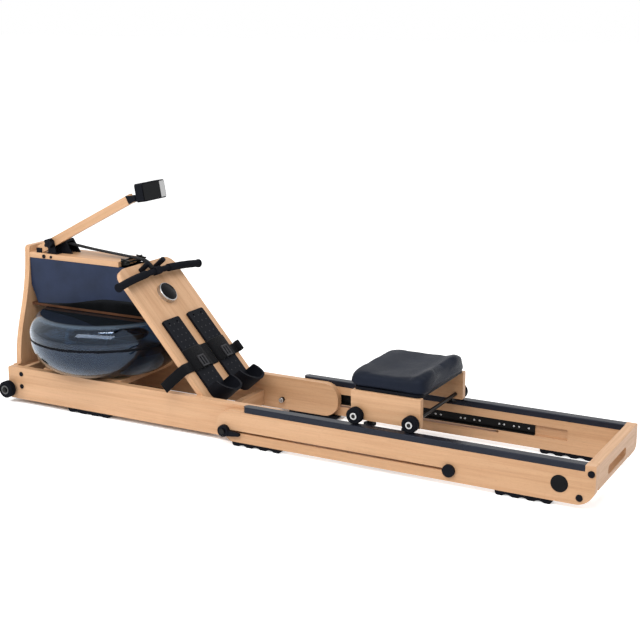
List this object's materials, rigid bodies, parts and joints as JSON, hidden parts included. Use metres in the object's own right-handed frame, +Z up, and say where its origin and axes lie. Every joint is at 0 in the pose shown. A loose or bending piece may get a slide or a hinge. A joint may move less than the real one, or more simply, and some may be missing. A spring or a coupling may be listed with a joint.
{
  "type": "rowing machine",
  "caption": "Wooden rowing machine with a round water tank, a rolling seat on two tracks, adjustable foot rests, a display on an arm and a rear frame that slides in for storage.",
  "frame": {"origin": "on the floor under the middle of the machine's bounding box", "axes": "+X towards the rower's back end, +Z up, -Y is the left side with the display arm"},
  "size_m": [2.117, 0.5294, 0.7821],
  "materials": {
    "beech": "satin lacquer",
    "navy_cover": "satin",
    "black_plastic": "fine moulded grain",
    "track_grey": "smooth",
    "tank_clear": "clear",
    "water": "clear",
    "rubber": "matte",
    "steel": "brushed",
    "dark_metal": "satin black",
    "webbing": "woven",
    "cushion_cover": "grained vinyl",
    "grip_foam": "foam",
    "screen": "gloss",
    "silver_plastic": "satin",
    "badge_disc": "satin"
  },
  "bodies": {
    "front_frame": {"front_rails": "beech", "cross_boards": "beech", "tank_board": "beech", "slide_bars": "dark_metal", "front_panel": "beech", "top_deck": "beech", "tank_bridge": "beech", "side_covers": "navy_cover", "footboard": "beech", "footboard_badge": "badge_disc", "handle_pegs": "black_plastic", "tank_lower": "tank_clear", "tank_seal": "rubber", "tank_upper": "tank_clear", "tank_water": "water", "shaft_bearings": "steel", "strap_housing": "black_plastic", "strap_guides": "dark_metal", "deck_strap": "webbing", "handle_strap": "webbing", "front_caps": "black_plastic", "front_feet": "rubber", "frame_bolts": "steel", "arm_bracket": "black_plastic"},
    "rear_frame": {"rear_rails": "beech", "tracks": "track_grey", "slide_channels": "dark_metal", "end_board": "beech", "rear_caps": "black_plastic", "side_badges": "badge_disc", "rear_feet": "rubber"},
    "seat": {"seat_panels": "beech", "seat_base": "black_plastic", "seat_cushion": "cushion_cover", "seat_axles": "dark_metal"},
    "seat_rollers_front": {"seat_rollers_front": "rubber"},
    "seat_rollers_rear": {"seat_rollers_rear": "rubber"},
    "handle": {"handle_bar": "grip_foam", "handle_grips": "grip_foam"},
    "impeller": {"impeller": "steel"},
    "strap_spool": {"strap_spool": "black_plastic"},
    "strap_pulley": {"strap_pulley": "black_plastic"},
    "foot_rest_left": {"foot_plate_left": "black_plastic", "foot_strap_left": "webbing"},
    "foot_rest_right": {"foot_plate_right": "black_plastic", "foot_strap_right": "webbing"},
    "clamp_lever_left": {"clamp_lever_left": "black_plastic"},
    "clamp_lever_right": {"clamp_lever_right": "black_plastic"},
    "transport_wheel_left": {"transport_wheel_left": "rubber"},
    "transport_wheel_right": {"transport_wheel_right": "rubber"},
    "monitor_arm": {"monitor_arm": "beech", "arm_head": "black_plastic"},
    "display": {"display_case": "black_plastic", "display_glass": "screen", "display_strip": "silver_plastic"},
    "arm_knob": {"arm_knob": "black_plastic"},
    "guide_roller_front_left": {"guide_roller_front_left": "black_plastic"},
    "guide_roller_front_right": {"guide_roller_front_right": "black_plastic"},
    "guide_roller_rear_left": {"guide_roller_rear_left": "black_plastic"},
    "guide_roller_rear_right": {"guide_roller_rear_right": "black_plastic"}
  },
  "joints": [
    {"name": "frame_slide", "type": "slide", "parent": "front_frame", "child": "rear_frame", "axis": [-1, 0, 0], "range_m": [0, 0.44]},
    {"name": "seat_slide", "type": "slide", "parent": "rear_frame", "child": "seat", "axis": [1, 0, 0], "range_m": [-0.37, 0.5]},
    {"name": "handle_pull", "type": "slide", "parent": "front_frame", "child": "handle", "axis": [-1, 0, 0], "range_m": [-1, 0], "stiffness_N_per_m": 15, "deforming": ["handle_strap"]},
    {"name": "impeller_spin", "type": "hinge", "parent": "front_frame", "child": "impeller", "pos_m": [-0.7395, 0, 0.19], "axis": [0, 0, 1], "continuous": true},
    {"name": "spool_turn", "type": "hinge", "parent": "front_frame", "child": "strap_spool", "pos_m": [-0.7395, 0, 0.425], "axis": [0, 0, 1], "range_deg": [-1366.2, 2]},
    {"name": "pulley_turn", "type": "hinge", "parent": "front_frame", "child": "strap_pulley", "pos_m": [-0.9195, 0, 0.532], "axis": [0, 1, 0], "range_deg": [-2, 4551.3]},
    {"name": "arm_tilt", "type": "hinge", "parent": "front_frame", "child": "monitor_arm", "pos_m": [-0.9295, -0.04, 0.548], "axis": [0, 1, 0], "range_deg": [0, 25]},
    {"name": "display_tilt", "type": "hinge", "parent": "monitor_arm", "child": "display", "pos_m": [-0.56952, -0.04, 0.72705], "axis": [0, 1, 0], "range_deg": [-15, 15]},
    {"name": "arm_knob_turn", "type": "hinge", "parent": "front_frame", "child": "arm_knob", "pos_m": [-0.9295, -0.04, 0.548], "axis": [0, 1, 0], "continuous": true},
    {"name": "seat_rollers_front_turn", "type": "hinge", "parent": "seat", "child": "seat_rollers_front", "pos_m": [0.3145, 0, 0.1576], "axis": [0, 1, 0], "range_deg": [-850, 1147.9]},
    {"name": "seat_rollers_rear_turn", "type": "hinge", "parent": "seat", "child": "seat_rollers_rear", "pos_m": [0.4955, 0, 0.1576], "axis": [0, 1, 0], "range_deg": [-850, 1147.9]},
    {"name": "guide_roller_front_left_turn", "type": "hinge", "parent": "seat", "child": "guide_roller_front_left", "pos_m": [0.3505, -0.15765, 0.1295], "axis": [0, 0, 1], "range_deg": [-1508.9, 1117.1]},
    {"name": "guide_roller_front_right_turn", "type": "hinge", "parent": "seat", "child": "guide_roller_front_right", "pos_m": [0.3505, 0.15765, 0.1295], "axis": [0, 0, 1], "range_deg": [-1117.1, 1508.9]},
    {"name": "guide_roller_rear_left_turn", "type": "hinge", "parent": "seat", "child": "guide_roller_rear_left", "pos_m": [0.4745, -0.15765, 0.1295], "axis": [0, 0, 1], "range_deg": [-1508.9, 1117.1]},
    {"name": "guide_roller_rear_right_turn", "type": "hinge", "parent": "seat", "child": "guide_roller_rear_right", "pos_m": [0.4745, 0.15765, 0.1295], "axis": [0, 0, 1], "range_deg": [-1117.1, 1508.9]},
    {"name": "foot_rest_left_slide", "type": "slide", "parent": "front_frame", "child": "foot_rest_left", "axis": [-0.6564, 0, 0.7544], "range_m": [-0.03, 0.03]},
    {"name": "clamp_lever_left_turn", "type": "hinge", "parent": "front_frame", "child": "clamp_lever_left", "pos_m": [-0.1315, -0.2159, 0.0475], "axis": [0, -1, 0], "range_deg": [0, 80]},
    {"name": "transport_wheel_left_turn", "type": "hinge", "parent": "front_frame", "child": "transport_wheel_left", "pos_m": [-1.0295, -0.199, 0.05], "axis": [0, 1, 0], "continuous": true},
    {"name": "foot_rest_right_slide", "type": "slide", "parent": "front_frame", "child": "foot_rest_right", "axis": [-0.6564, 0, 0.7544], "range_m": [-0.03, 0.03]},
    {"name": "clamp_lever_right_turn", "type": "hinge", "parent": "front_frame", "child": "clamp_lever_right", "pos_m": [-0.1315, 0.2159, 0.0475], "axis": [0, -1, 0], "range_deg": [0, 80]},
    {"name": "transport_wheel_right_turn", "type": "hinge", "parent": "front_frame", "child": "transport_wheel_right", "pos_m": [-1.0295, 0.199, 0.05], "axis": [0, 1, 0], "continuous": true}
  ],
  "couplings": [
    {"joint": "spool_turn", "follows": "handle_pull", "rad_per_m": 23.81},
    {"joint": "pulley_turn", "follows": "handle_pull", "rad_per_m": -79.4},
    {"joint": "seat_rollers_front_turn", "follows": "seat_slide", "rad_per_m": 40},
    {"joint": "seat_rollers_rear_turn", "follows": "seat_slide", "rad_per_m": 40},
    {"joint": "guide_roller_front_left_turn", "follows": "seat_slide", "rad_per_m": -52.6},
    {"joint": "guide_roller_front_right_turn", "follows": "seat_slide", "rad_per_m": 52.6},
    {"joint": "guide_roller_rear_left_turn", "follows": "seat_slide", "rad_per_m": -52.6},
    {"joint": "guide_roller_rear_right_turn", "follows": "seat_slide", "rad_per_m": 52.6}
  ]
}
